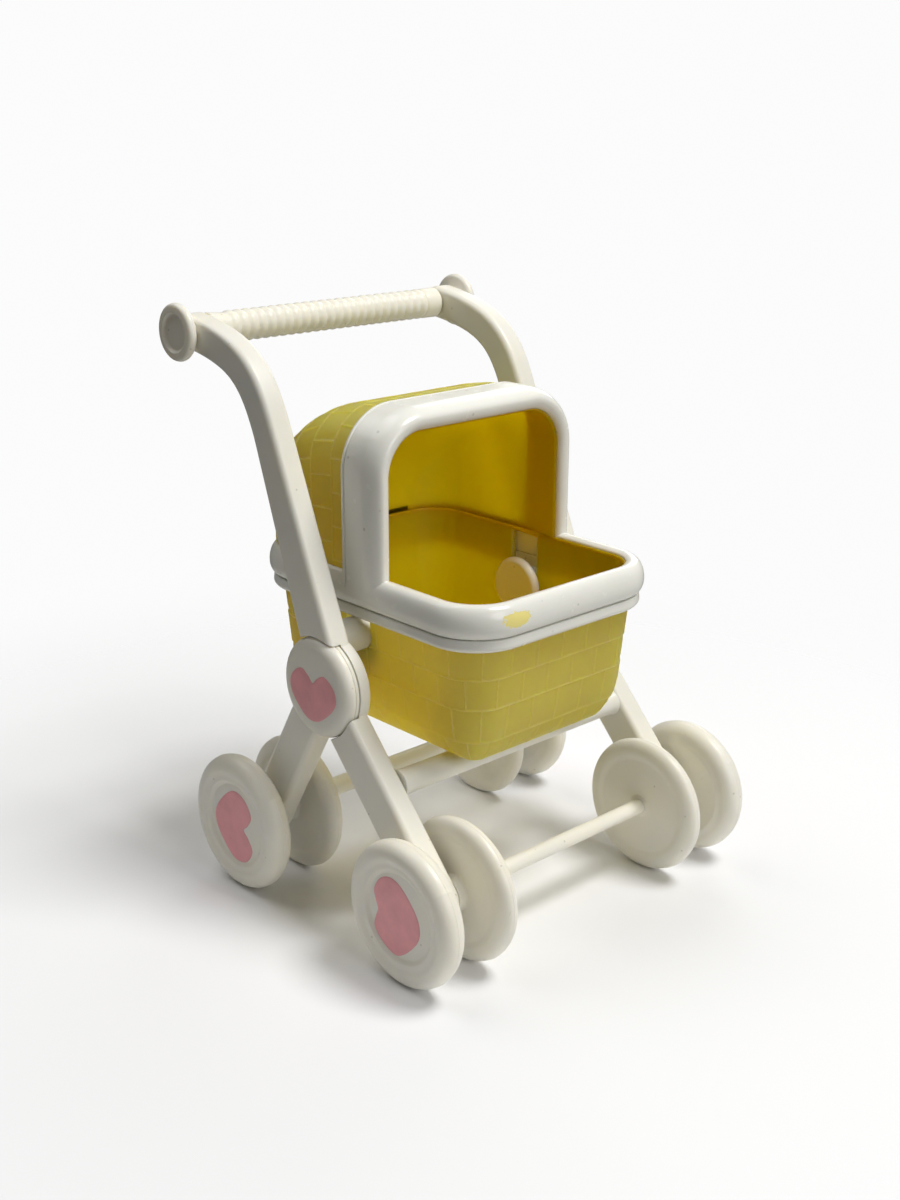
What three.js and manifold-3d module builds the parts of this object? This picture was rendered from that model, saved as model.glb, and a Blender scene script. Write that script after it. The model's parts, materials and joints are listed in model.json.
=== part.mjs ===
// Doll stroller: an X-shaped moulded plastic frame on two wheelsets, with a hooded basket
// that hangs on two pegs between the side frames.
// Millimetres, +Z up, the front towards -Y, the stroller's left side towards +X.
// The origin is on the floor, under the axis of the hubs where the legs cross.

import * as THREE from 'three';
import { mergeVertices } from 'three/addons/utils/BufferGeometryUtils.js';
import Module from 'manifold-3d';

const wasm = await Module();
wasm.setup();

// ---------------------------------------------------------------- driving dimensions

const runningGap = 0.25; // radial play of a shaft in its hole
const faceGap = 0.3; // between faces that touch

// Wheels and axles
const wheelRadius = 17;
const frontAxleY = -36.9;
const rearAxleY = 23.4;
const frontAxleRadius = 1.9;
const rearAxleRadius = 2.4;
const innerWheelWidth = 4.7;
const outerWheelWidth = 6.4;
const treadRound = 1.5; // square-shouldered edges of the treads
const rimRoll = 2.8; // full outboard edge of an outer wheel
const dishRadius = 10.4;
const dishDepth = 1.2;
const axleSeatDepth = 3; // how far the axle runs into an outer wheel
const collarRadius = 4.2;
const wheelLegGap = 2.4; // from a wheel's flank to the leg

// Side frames: handle arm and front leg in one piece
const basketGap = 4.4; // from the basket's rim to a side frame
const frameWidth = 6.2;
const frameEdge = 1.3; // rounding of the long edges
const legHalf = 5.2;
const armHalfLow = 5.9;
const armHalfTop = 4.1;
const armFootY = -3.3;
const armBendY = 16.6;
const armBendRise = 52.7; // above the hubs
const handleY = 47;
const handleRise = 75.8; // above the hubs
const armEndRise = 0.14; // slope of the arm where it meets the handle
const armBendStart = 17; // how far the arm's lean carries into the bend
const armBendEnd = 20; // how far the slope at the handle carries back
const armTaperShare = 0.62; // of the arm's length, over which it narrows

// Hubs
const hubZ = 57.3;
const hubRadius = 12;
const innerDiscWidth = 3.2;
const hubProud = 1.2; // how far the outer disc stands out of the legs
const hubPinRadius = 2.5;
const hubPinHeadRadius = 5.375;
const hubPinHeadHeight = 1.2;
const hubPinCover = 1.5; // of the outer disc, over the pin's end

// Handle
const gripCrest = 3.85;
const gripRoot = 3.4;
const gripRings = 24;
const gripRingPitch = 2.6;
const tenonRadius = 2.4;
const knobRadius = 6.9;
const knobWidth = 2.9;
const knobDishRadius = 4.4;
const knobDishDepth = 0.9;
const knobRound = 0.9;
const knobFloor = 1; // left between the tenon and the dish

// Cross bar between the front legs
const crossBarRadius = 3;
const crossBarRun = 0.55; // its place on the way from the hub down to the axle
const crossBarLift = 3.17; // above the middle of the leg there
const crossBarTenonDepth = 4;

// Basket
const basketHalfX = 32; // over the rim
const basketHalfY = 40.5;
const basketCorner = 14;
const rimWidth = 5;
const rimHeight = 7.7;
const rimRound = 2;
const flangeHeight = 3;
const flangeInset = 0.9;
const flangeRound = 0.6;
const tubWall = 1.4;
const tubLean = 2.9; // how much narrower each side is at the bottom
const tubFloorRound = 7;
const tubTopInset = 1.4; // from the rim's top to the tub's edge
const tubReveal = 0.1; // how far the tub's inner face stands inside the rim's
const archFront = -9.2;
const archDepth = 12.5;
const archRise = 37.8; // above the rim
const archRound = 2.2;
const archCorner = 14.5;
const archTopWidth = 5.6;
const hoodInset = 2;
const hoodWall = 1.4;
const hoodBackHeight = 9; // upright part of the hood's back
const hoodRoofStart = 3; // where the roof begins to fall
const hoodRoofPower = 2.2; // 2 would make the falling roof an ellipse
const hoodRoot = 2.5; // how far the shell runs down into the rim

// Pegs that carry the basket
const pegY = 2.3;
const pegRadius = 4.1;
const pegDiscRadius = 7.5;
const pegDiscWidth = 2;
const pegDiscGap = 0.63; // from the retaining disc to the leaning wall
const pegTenonDepth = 2.2;

// Facets round a full turn, and steps along a curve
const wheelFacets = 32;
const shaftFacets = 16;
const gripFacets = 12;
const hubFacets = 30;
const cornerSteps = 5; // to a quarter turn
const edgeSteps = 2; // to a rounded edge
const armSteps = 16;
const hoodSteps = 9;

const weld = 0.5; // how far forms that are joined into one piece run into each other
const pastFace = 1; // how far a cutting form runs past the face it cuts
const cornerPull = 1 - Math.SQRT1_2; // a quarter round's middle, from its corner

// ---------------------------------------------------------------- materials

const ivory = { color: 0xe6e2d0, roughness: 0.42, metalness: 0 };
const paintedWhite = { color: 0xeceade, roughness: 0.25, metalness: 0 };
const basketYellow = { color: 0xe6cf4e, roughness: 0.45, metalness: 0 };

function material(look) {
  return new THREE.MeshStandardMaterial(look);
}

// ---------------------------------------------------------------- solids

function solid(geometry) {
  const bare = geometry.clone();
  bare.deleteAttribute('normal');
  bare.deleteAttribute('uv');
  const merged = mergeVertices(bare, 1e-4);
  return new wasm.Manifold(new wasm.Mesh({
    numProp: 3,
    vertProperties: new Float32Array(merged.attributes.position.array),
    triVerts: new Uint32Array(merged.index.array),
  }));
}

function meshOf(name, body, look) {
  const result = body.getMesh();
  const geometry = new THREE.BufferGeometry();
  geometry.setAttribute('position', new THREE.BufferAttribute(result.vertProperties, 3));
  geometry.setIndex(new THREE.BufferAttribute(result.triVerts, 1));
  geometry.computeVertexNormals();
  const mesh = new THREE.Mesh(geometry, material(look));
  mesh.name = name;
  return mesh;
}

// A turned piece: [radius, distance along X] pairs, from the axis back to the axis.
// A flat facet faces straight down, so that a wheel stands on it.
function turned(profile, facets) {
  const points = profile.map(([radius, along]) => new THREE.Vector2(radius, along));
  const geometry = new THREE.LatheGeometry(points, facets, Math.PI / facets);
  return geometry.rotateZ(-Math.PI / 2);
}

function rod(radius, from, to, facets = shaftFacets) {
  return turned([[0, from], [radius, from], [radius, to], [0, to]], facets);
}

// A rod along X at (y, z), from one distance out to another on one side.
function sideRod(side, radius, inner, outer, y, z, facets = shaftFacets) {
  const low = Math.min(side * inner, side * outer);
  const high = Math.max(side * inner, side * outer);
  return solid(rod(radius, low, high, facets).translate(0, y, z));
}

// An outline in the YZ plane given a thickness along X, with rounded long edges.
function sidePlate(side, outline, inner, outer, edge) {
  const low = Math.min(side * inner, side * outer);
  const width = Math.abs(outer - inner);
  const geometry = new THREE.ExtrudeGeometry(outline, {
    depth: width - 2 * edge,
    bevelEnabled: edge > 0,
    bevelThickness: edge,
    bevelSize: edge,
    bevelOffset: -edge,
    bevelSegments: edgeSteps,
    curveSegments: 2 * cornerSteps,
  });
  const upright = new THREE.Matrix4().makeBasis(
    new THREE.Vector3(0, 1, 0),
    new THREE.Vector3(0, 0, 1),
    new THREE.Vector3(1, 0, 0),
  );
  return solid(geometry.applyMatrix4(upright).translate(low + edge, 0, 0));
}

// ---------------------------------------------------------------- wheels and axles

const axleZ = wheelRadius;
const facetedWheelRadius = wheelRadius / Math.cos(Math.PI / wheelFacets);
const legInner = basketHalfX + basketGap;
const legOuter = legInner + frameWidth;
const innerWheelFace = legInner - wheelLegGap;
const outerWheelFace = legOuter + wheelLegGap;

// The outboard flank is dished and the rim is full and round. X = 0 at the inboard flank.
function outerWheel(axleRadius) {
  const r = facetedWheelRadius;
  const w = outerWheelWidth;
  const body = solid(turned([
    [0, faceGap - wheelLegGap],
    [collarRadius, faceGap - wheelLegGap],
    [collarRadius, 0],
    [r - treadRound, 0],
    [r, treadRound],
    [r, w - rimRoll],
    [r - cornerPull * rimRoll, w - cornerPull * rimRoll],
    [r - rimRoll, w],
    [dishRadius + dishDepth, w],
    [dishRadius, w - dishDepth],
    [0, w - dishDepth],
  ], wheelFacets));
  const seat = solid(rod(axleRadius + runningGap, -wheelLegGap, axleSeatDepth + faceGap));
  return body.subtract(seat);
}

// X = 0 at the outboard flank, and the collar stands out of it towards the leg.
function innerWheel(axleRadius) {
  const r = facetedWheelRadius;
  const w = innerWheelWidth;
  const body = solid(turned([
    [0, -w],
    [r - treadRound, -w],
    [r, treadRound - w],
    [r, -treadRound],
    [r - treadRound, 0],
    [collarRadius, 0],
    [collarRadius, wheelLegGap - faceGap],
    [0, wheelLegGap - faceGap],
  ], wheelFacets));
  const bore = solid(rod(axleRadius + runningGap, -w - pastFace, wheelLegGap + pastFace));
  return body.subtract(bore);
}

function wheelset(prefix, axleY, axleRadius) {
  const set = new THREE.Group();
  set.position.set(0, axleY, axleZ);
  const reach = outerWheelFace + axleSeatDepth;
  set.add(meshOf(`${prefix}_axle`, solid(rod(axleRadius, -reach, reach)), ivory));
  for (const [sideName, side] of [['left', 1], ['right', -1]]) {
    const outer = meshOf(`${prefix}_${sideName}_outer_wheel`, outerWheel(axleRadius), ivory);
    const inner = meshOf(`${prefix}_${sideName}_inner_wheel`, innerWheel(axleRadius), ivory);
    outer.position.x = side * outerWheelFace;
    inner.position.x = side * innerWheelFace;
    for (const wheel of [outer, inner]) {
      wheel.rotation.z = side > 0 ? 0 : Math.PI;
      set.add(wheel);
    }
  }
  return set;
}

// ---------------------------------------------------------------- frame

const hubStep = legInner + innerDiscWidth; // the plane between the inner and the outer disc
const hubFace = legOuter + hubProud;
const handleZ = hubZ + handleRise;
const crossBarY = frontAxleY * crossBarRun;
const crossBarZ = hubZ + (axleZ - hubZ) * crossBarRun + crossBarLift;
// The pegs stand just clear of the heads of the hub pins.
const pegZ = hubZ + Math.sqrt((hubPinHeadRadius + pegRadius + faceGap) ** 2 - pegY ** 2);

// The outline of a bar of changing width along a centre line in the YZ plane.
function barOutline(centre, halfWidth, steps) {
  const near = [];
  const far = [];
  for (let i = 0; i <= steps; i += 1) {
    const t = i / steps;
    const point = centre.getPointAt(t);
    const along = centre.getTangentAt(t);
    const offset = new THREE.Vector2(-along.y, along.x).multiplyScalar(halfWidth(t));
    near.push(point.clone().sub(offset));
    far.unshift(point.clone().add(offset));
  }
  return new THREE.Shape([...near, ...far]);
}

// A straight leg from the hub to an axle, round at its foot.
function legOutline(axleY) {
  const hub = new THREE.Vector2(0, hubZ);
  const foot = new THREE.Vector2(axleY, axleZ);
  const along = foot.clone().sub(hub).normalize();
  const across = new THREE.Vector2(-along.y, along.x).multiplyScalar(legHalf);
  const turn = Math.atan2(across.y, across.x);
  const outline = new THREE.Shape();
  outline.moveTo(hub.x + across.x, hub.y + across.y);
  outline.lineTo(hub.x - across.x, hub.y - across.y);
  outline.lineTo(foot.x - across.x, foot.y - across.y);
  outline.absarc(foot.x, foot.y, legHalf, turn - Math.PI, turn, false);
  outline.closePath();
  return outline;
}

function armOutline() {
  const armFoot = new THREE.Vector2(armFootY, hubZ);
  const armBend = new THREE.Vector2(armBendY, hubZ + armBendRise);
  const lean = armBend.clone().sub(armFoot).normalize();
  const end = new THREE.Vector2(handleY, handleZ);
  const centre = new THREE.CurvePath();
  centre.add(new THREE.LineCurve(armFoot, armBend));
  centre.add(new THREE.CubicBezierCurve(
    armBend,
    armBend.clone().addScaledVector(lean, armBendStart),
    new THREE.Vector2(handleY - armBendEnd, handleZ - armBendEnd * armEndRise),
    end,
  ));
  const halfWidth = (t) => {
    const tapered = Math.min(1, t / armTaperShare);
    return THREE.MathUtils.lerp(armHalfLow, armHalfTop, tapered);
  };
  return barOutline(centre, halfWidth, armSteps);
}

function disc(radius) {
  const outline = new THREE.Shape();
  outline.absarc(0, hubZ, radius, 0, 2 * Math.PI, false);
  return outline;
}

// Arm, front leg and inner hub disc are one moulding. The outer disc turns in its pocket.
function sideFrame(side) {
  const arm = sidePlate(side, armOutline(), legInner, legOuter, frameEdge);
  const armEnd = sideRod(side, armHalfTop, legInner, legOuter, handleY, handleZ);
  const leg = sidePlate(side, legOutline(frontAxleY), legInner, legOuter, frameEdge);
  const hub = sideRod(side, hubRadius, legInner, hubStep - faceGap / 2, 0, hubZ, hubFacets);
  const pocketRadius = hubRadius + faceGap;
  const step = hubStep - faceGap / 2;
  const outside = legOuter + pastFace;
  const pocket = sideRod(side, pocketRadius, step, outside, 0, hubZ, hubFacets);
  const pinHole = sideRod(side, hubPinRadius + runningGap, 0, hubFace, 0, hubZ);
  const axleHole = sideRod(side, frontAxleRadius + runningGap, 0, outside, frontAxleY, axleZ);
  const tenonHole = tenonRadius + runningGap;
  const handleHole = sideRod(side, tenonHole, 0, outside, handleY, handleZ);
  const pegEnd = legInner + pegTenonDepth + faceGap;
  const pegHole = sideRod(side, tenonHole, 0, pegEnd, pegY, pegZ);
  const barEnd = legInner + crossBarTenonDepth + faceGap;
  const barHole = sideRod(side, tenonHole, 0, barEnd, crossBarY, crossBarZ);
  return arm.add(armEnd).add(leg).subtract(pocket).add(hub)
    .subtract(pinHole).subtract(axleHole).subtract(handleHole).subtract(pegHole).subtract(barHole);
}

// The rear leg carries the outer hub disc, and clears the inner disc as it folds.
function rearLeg(side) {
  const leg = sidePlate(side, legOutline(rearAxleY), legInner, legOuter, frameEdge);
  const step = hubStep + faceGap / 2;
  const hub = sidePlate(side, disc(hubRadius), step, hubFace, frameEdge);
  const clearance = sideRod(side, hubRadius + faceGap, 0, step, 0, hubZ, hubFacets);
  const pinHole = sideRod(side, hubPinRadius + runningGap, 0, hubFace - hubPinCover, 0, hubZ);
  const axleHole = sideRod(side, rearAxleRadius + runningGap, 0, hubFace, rearAxleY, axleZ);
  return leg.add(hub).subtract(clearance).subtract(pinHole).subtract(axleHole);
}

function hubPin(side) {
  const headFace = legInner - faceGap;
  const head = sideRod(side, hubPinHeadRadius, headFace - hubPinHeadHeight, headFace, 0, hubZ);
  const tip = hubFace - hubPinCover - faceGap;
  const shank = sideRod(side, hubPinRadius, headFace - weld, tip, 0, hubZ);
  return head.add(shank);
}

function crossBar() {
  const bar = solid(rod(crossBarRadius, faceGap - legInner, legInner - faceGap));
  const reach = legInner + crossBarTenonDepth;
  return bar.add(solid(rod(tenonRadius, -reach, reach)));
}

// ---------------------------------------------------------------- handle

const knobSeatDepth = knobWidth - knobDishDepth - knobFloor;

function handleBar() {
  const half = (gripRings * gripRingPitch) / 2;
  const end = legInner - faceGap;
  const profile = [[0, -end], [gripCrest, -end], [gripCrest, -half - gripRingPitch / 2]];
  for (let ring = 0; ring < gripRings; ring += 1) {
    const start = -half + ring * gripRingPitch;
    profile.push([gripRoot, start]);
    profile.push([gripCrest, start + gripRingPitch / 2]);
  }
  profile.push([gripRoot, half], [gripCrest, half + gripRingPitch / 2], [gripCrest, end], [0, end]);
  const reach = legOuter + faceGap + knobSeatDepth - faceGap;
  const grip = solid(turned(profile, gripFacets));
  return grip.add(solid(rod(tenonRadius, -reach, reach)));
}

// X = 0 at the face against the arm.
function handleKnob() {
  const body = solid(turned([
    [0, 0],
    [knobRadius - knobRound, 0],
    [knobRadius, knobRound],
    [knobRadius, knobWidth - knobRound],
    [knobRadius - knobRound, knobWidth],
    [knobDishRadius + knobDishDepth, knobWidth],
    [knobDishRadius, knobWidth - knobDishDepth],
    [0, knobWidth - knobDishDepth],
  ], hubFacets));
  return body.subtract(solid(rod(tenonRadius + runningGap, -pastFace, knobSeatDepth)));
}

// ---------------------------------------------------------------- basket

// A rounded rectangle about the Z axis.
function plan(halfX, halfY, corner) {
  const outline = new THREE.Shape();
  outline.absarc(halfX - corner, corner - halfY, corner, -Math.PI / 2, 0, false);
  outline.absarc(halfX - corner, halfY - corner, corner, 0, Math.PI / 2, false);
  outline.absarc(corner - halfX, halfY - corner, corner, Math.PI / 2, Math.PI, false);
  outline.absarc(corner - halfX, corner - halfY, corner, Math.PI, 1.5 * Math.PI, false);
  outline.closePath();
  return outline;
}

function planAt(inset) {
  return plan(basketHalfX - inset, basketHalfY - inset, basketCorner - inset);
}

function slab(outline, bottom, top, edge = 0) {
  const geometry = new THREE.ExtrudeGeometry(outline, {
    depth: top - bottom - 2 * edge,
    bevelEnabled: edge > 0,
    bevelThickness: edge,
    bevelSize: edge,
    bevelOffset: -edge,
    bevelSegments: edgeSteps,
    curveSegments: cornerSteps,
  });
  return geometry.translate(0, 0, bottom + edge);
}

// The flange rests on the pegs, the rim on the flange, and the tub's floor on the cross bar.
const tubInset = rimWidth + tubReveal - tubWall;
const flangeBottom = pegZ + pegRadius + faceGap;
const flangeTop = flangeBottom + flangeHeight;
const rimBottom = flangeTop + faceGap;
const rimTop = rimBottom + rimHeight;
const archTop = rimTop + archRise;
const tubTop = rimTop - tubTopInset;
const tubBottom = crossBarZ + crossBarRadius + faceGap;
const discLean = tubLean * (flangeBottom - pegZ + pegDiscRadius) / (flangeBottom - tubBottom);
const pegDiscFace = basketHalfX - tubInset - tubWall - discLean - pegDiscGap;

// The tub's inner or outer form: leaning sides and a rounded foot.
function tubForm(inset, bottom, top, footRound) {
  const height = top - bottom;
  const foot45 = cornerPull * footRound;
  const levels = [0, foot45 / 2, foot45, footRound, flangeBottom - bottom, height];
  const steps = levels.length - 1;
  const geometry = new THREE.ExtrudeGeometry(planAt(inset), {
    depth: height, steps, bevelEnabled: false, curveSegments: cornerSteps,
  });
  const place = geometry.attributes.position;
  for (let i = 0; i < place.count; i += 1) {
    const z = levels[Math.round((place.getZ(i) / height) * steps)];
    const below = Math.max(0, flangeBottom - bottom - z) / (flangeBottom - tubBottom);
    const up = Math.max(0, footRound - z);
    const foot = footRound - Math.sqrt(footRound ** 2 - up ** 2);
    const pull = tubLean * below + foot;
    place.setX(i, place.getX(i) * (1 - pull / (basketHalfX - inset)));
    place.setY(i, place.getY(i) * (1 - pull / (basketHalfY - inset)));
    place.setZ(i, z);
  }
  return geometry.translate(0, 0, bottom);
}

// A slot in the side walls that the peg runs in, closed above by the flange and the rim.
function pegSlot(halfWidth) {
  const outline = new THREE.Shape();
  outline.absarc(pegY, pegZ, halfWidth, Math.PI, 2 * Math.PI, false);
  outline.lineTo(pegY + halfWidth, tubTop + pastFace);
  outline.lineTo(pegY - halfWidth, tubTop + pastFace);
  outline.closePath();
  return sidePlate(1, outline, -basketHalfX, basketHalfX, 0);
}

function basketTub() {
  const outer = solid(tubForm(tubInset, tubBottom, tubTop, tubFloorRound));
  const inner = solid(tubForm(
    tubInset + tubWall, tubBottom + tubWall, tubTop + pastFace, tubFloorRound - tubWall,
  ));
  const slot = pegSlot(pegRadius + faceGap);
  const flange = solid(slab(planAt(flangeInset), flangeBottom, flangeTop, flangeRound));
  const flangeHole = solid(slab(
    planAt(tubInset + tubWall / 2), flangeBottom - pastFace, flangeTop + pastFace,
  ));
  const bridge = flange.subtract(flangeHole);
  return outer.subtract(inner).subtract(slot).add(bridge);
}

// An arch about the X = 0 plane: upright sides, rounded shoulders and a flat top.
function arch(halfX, bottom, top, shoulder) {
  const outline = new THREE.Shape();
  outline.moveTo(-halfX, bottom);
  outline.lineTo(halfX, bottom);
  outline.absarc(halfX - shoulder, top - shoulder, shoulder, 0, Math.PI / 2, false);
  outline.absarc(shoulder - halfX, top - shoulder, shoulder, Math.PI / 2, Math.PI, false);
  outline.closePath();
  return outline;
}

// An arch outline extruded along Y between two stations.
function archBody(outline, front, back, edge, steps = 1) {
  const geometry = new THREE.ExtrudeGeometry(outline, {
    depth: back - front - 2 * edge,
    steps,
    bevelEnabled: edge > 0,
    bevelThickness: edge,
    bevelSize: edge,
    bevelOffset: -edge,
    bevelSegments: edgeSteps,
    curveSegments: cornerSteps,
  });
  const upright = new THREE.Matrix4().makeBasis(
    new THREE.Vector3(1, 0, 0),
    new THREE.Vector3(0, 0, 1),
    new THREE.Vector3(0, -1, 0),
  );
  return geometry.applyMatrix4(upright).translate(0, back - edge, 0);
}

// The hood's inner or outer form: it narrows in plan and its roof falls towards the back.
function hoodForm(inset, front) {
  const halfX = basketHalfX - hoodInset - inset;
  const back = basketHalfY - hoodInset - inset;
  const corner = basketCorner - hoodInset - inset;
  const bottom = rimTop - hoodRoot;
  const top = archTop - hoodInset / 2 - inset;
  const upright = hoodBackHeight - inset;
  const outline = arch(halfX, bottom, top, archCorner - hoodInset - inset);
  const geometry = archBody(outline, front, back, 0, hoodSteps);
  const place = geometry.attributes.position;
  for (let i = 0; i < place.count; i += 1) {
    const part = (place.getY(i) - front) / (back - front);
    const y = front + (back - front) * Math.sin((part * Math.PI) / 2);
    const past = Math.max(0, y - (back - corner));
    const narrow = corner - Math.sqrt(Math.max(0, corner ** 2 - past ** 2));
    const run = Math.max(0, y - hoodRoofStart) / (back - hoodRoofStart);
    const share = Math.sqrt(Math.max(0, 1 - run ** hoodRoofPower));
    const roof = bottom + upright + (top - bottom - upright) * share;
    const height = (place.getZ(i) - bottom) / (top - bottom);
    place.setX(i, place.getX(i) * (1 - narrow / halfX));
    place.setY(i, y);
    place.setZ(i, bottom + height * (roof - bottom));
  }
  return solid(geometry);
}

// Hood, upright arch and rim are one moulding, which fits over the tub's edge.
function basketHood() {
  const shell = hoodForm(0, archFront + archRound)
    .subtract(hoodForm(hoodWall, archFront - pastFace));
  const archRing = solid(archBody(
    arch(basketHalfX, rimBottom + rimRound, archTop, archCorner),
    archFront, archFront + archDepth, archRound,
  ));
  const archHole = solid(archBody(
    arch(
      basketHalfX - rimWidth, rimBottom - pastFace, archTop - archTopWidth, archCorner - rimWidth,
    ),
    archFront - pastFace, archFront + archDepth + pastFace, 0,
  ));
  const rim = solid(slab(planAt(0), rimBottom, rimTop, rimRound));
  const rimHole = solid(slab(planAt(rimWidth), rimBottom - pastFace, rimTop + pastFace));
  const rabbet = solid(slab(
    planAt(tubInset - faceGap), rimBottom - pastFace, tubTop + faceGap,
  ));
  return archRing.subtract(archHole).add(shell).add(rim).subtract(rimHole).subtract(rabbet);
}

// A headed pin: tenon in the arm, round body through the wall, retaining disc inside.
function basketPeg(side) {
  const washer = sideRod(
    side, pegDiscRadius, pegDiscFace - pegDiscWidth, pegDiscFace, pegY, pegZ, hubFacets,
  );
  const shoulder = legInner - faceGap;
  const body = sideRod(side, pegRadius, pegDiscFace - weld, shoulder, pegY, pegZ, hubFacets);
  const tenon = sideRod(
    side, tenonRadius, shoulder - weld, legInner + pegTenonDepth, pegY, pegZ,
  );
  return washer.add(body).add(tenon);
}

// ---------------------------------------------------------------- assembly

const stroller = new THREE.Group();

for (const [sideName, side] of [['left', 1], ['right', -1]]) {
  stroller.add(meshOf(`${sideName}_side_frame`, sideFrame(side), ivory));
  stroller.add(meshOf(`${sideName}_rear_leg`, rearLeg(side), ivory));
  stroller.add(meshOf(`${sideName}_hub_pin`, hubPin(side), ivory));
  stroller.add(meshOf(`${sideName}_basket_peg`, basketPeg(side), ivory));
  const knob = meshOf(`${sideName}_handle_knob`, handleKnob(), ivory);
  knob.position.set(side * (legOuter + faceGap), handleY, handleZ);
  knob.rotation.z = side > 0 ? 0 : Math.PI;
  stroller.add(knob);
}

const handle = meshOf('handle_bar', handleBar(), ivory);
handle.position.set(0, handleY, handleZ);
stroller.add(handle);

const frontBar = meshOf('front_cross_bar', crossBar(), ivory);
frontBar.position.set(0, crossBarY, crossBarZ);
stroller.add(frontBar);

stroller.add(meshOf('basket_tub', basketTub(), basketYellow));
stroller.add(meshOf('basket_hood', basketHood(), paintedWhite));
stroller.add(wheelset('front', frontAxleY, frontAxleRadius));
stroller.add(wheelset('rear', rearAxleY, rearAxleRadius));

export default stroller;
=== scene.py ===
"""Doll stroller: fine moulded meshes and procedural plastics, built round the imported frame.

Meshes are worked out in millimetres in the frame's axes (front -Y, left +X, +Z up) and
turned into metres as each piece is made.
"""

import json
from math import ceil, cos, pi, radians, sin, sqrt

import bmesh
import bpy
import numpy as np
from mathutils import Matrix, Vector


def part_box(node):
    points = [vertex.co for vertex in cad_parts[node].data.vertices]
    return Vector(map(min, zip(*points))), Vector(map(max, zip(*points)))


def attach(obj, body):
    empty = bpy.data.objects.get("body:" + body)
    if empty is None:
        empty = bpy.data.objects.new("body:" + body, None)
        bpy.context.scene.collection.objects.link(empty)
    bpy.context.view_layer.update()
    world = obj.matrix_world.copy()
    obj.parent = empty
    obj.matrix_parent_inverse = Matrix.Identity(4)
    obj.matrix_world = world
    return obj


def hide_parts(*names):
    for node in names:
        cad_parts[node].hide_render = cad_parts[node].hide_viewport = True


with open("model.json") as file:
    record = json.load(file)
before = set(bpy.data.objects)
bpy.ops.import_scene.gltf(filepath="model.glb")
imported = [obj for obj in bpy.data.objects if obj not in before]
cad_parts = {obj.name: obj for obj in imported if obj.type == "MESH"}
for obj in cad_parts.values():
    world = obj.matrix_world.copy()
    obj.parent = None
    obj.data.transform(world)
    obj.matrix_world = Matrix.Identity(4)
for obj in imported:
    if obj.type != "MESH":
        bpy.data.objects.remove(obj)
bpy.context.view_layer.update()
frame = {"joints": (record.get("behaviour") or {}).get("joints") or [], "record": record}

MM = 0.001
SIDES = (("left", 1), ("right", -1))


# ---- the frame's sizes

def span(node):
    """Lowest and highest corner of a CAD node, in millimetres."""
    low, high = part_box(node)
    return np.array(low) / MM, np.array(high) / MM


def pivot(joint):
    """A joint's point in the frame, in millimetres."""
    found = next(j for j in frame["joints"] if j["name"] == joint)
    return np.array(found["pos_m"]) / MM


frame_low, frame_high = span("left_side_frame")
LEG_INNER = frame_low[0]
LEG_OUTER = frame_high[0]
HUB = pivot("rear_leg_fold")
FRONT_AXLE = pivot("front_wheelset_spin")
REAR_AXLE = pivot("rear_wheelset_spin")
PEG = pivot("basket_tilt")
rear_low, rear_high = span("left_rear_leg")
HUB_RADIUS = -rear_low[1]
HUB_FACE = rear_high[0]
handle_low, handle_high = span("handle_bar")
HANDLE = (handle_low + handle_high) / 2
knob_low, knob_high = span("left_handle_knob")
hood_low, hood_high = span("basket_hood")
tub_low, tub_high = span("basket_tub")
bar_low, bar_high = span("front_cross_bar")
CROSS_BAR = (bar_low + bar_high) / 2

# Side frames and hubs
EDGE = 1.5                  # rounding of the long edges
LEG_HALF = 5.2
ARM_HALF_LOW = 5.9
ARM_HALF_TOP = 4.1
ARM_FOOT = (-3.3, HUB[2])
ARM_BEND = (16.6, 110.0)
ARM_BEND_START = 17.0
ARM_BEND_END = 20.0
ARM_END_RISE = 0.14
ARM_TAPER_SHARE = 0.62
HUB_STEP = 39.6             # the plane between the inner and the outer disc
GAP = 0.15                  # half of the gap between them

# Handle and cross bar
GRIP_RINGS = 24
GRIP_PITCH = 2.6
GRIP_CREST = 3.85
GRIP_ROOT = 3.42
CROSS_BAR_RADIUS = 3.0

# Wheels
WHEEL_RADIUS = FRONT_AXLE[2]
TREAD = WHEEL_RADIUS - 0.1  # the mould's parting line stands proud of the tread
RIM_CREST = WHEEL_RADIUS - 3.3
LAND_RADIUS = WHEEL_RADIUS - 5.2
LAND_DEPTH = 0.5
DISH_RADIUS = 10.4
DISH_DEPTH = 1.3
COLLAR_RADIUS = 4.2
COLLAR_WIDTH = 2.0
OUTER_WIDTH = 6.4           # across the rim of an outer wheel
FLANK_STEP = 0.3            # how deep a flank lies behind its rim
SEAMS = (radians(141), radians(-39))
SEAM_STEPS = (-2.0, -1.3, -0.8, -0.4, 0.0, 0.4, 0.8, 1.3, 2.0)

# Basket: an inset is measured inwards from the rim's outline in plan
CORNER = 14.0
RIM_WIDTH = 5.0
RIM_BOTTOM = hood_low[2]
RIM_TOP = 82.2
TUB_INSET = 3.7
TUB_WALL = 1.4
TUB_LEAN = 2.9
TUB_FOOT = 7.0
TUB_FOOT_TALL = 12.0        # the foot is rounder up the wall than it is across the floor
FOOT_RUN = (TUB_FOOT + TUB_FOOT_TALL) / 2
TUB_TOP = tub_high[2]
TUB_BOTTOM = tub_low[2]
FLANGE_INSET = 0.9
FLANGE_TOP = RIM_BOTTOM - 0.1
FLANGE_BOTTOM = FLANGE_TOP - 3.0
ARCH_FRONT = -9.2
ARCH_DEPTH = 12.5
ARCH_CORNER = 14.5
ARCH_TOP = hood_high[2]
HOOD_INSET = 2.0
HOOD_WALL = 1.4
HOOD_UPRIGHT = 9.0
HOOD_ROOF_START = 3.0
HOOD_ROOF_POWER = 2.2
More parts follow.
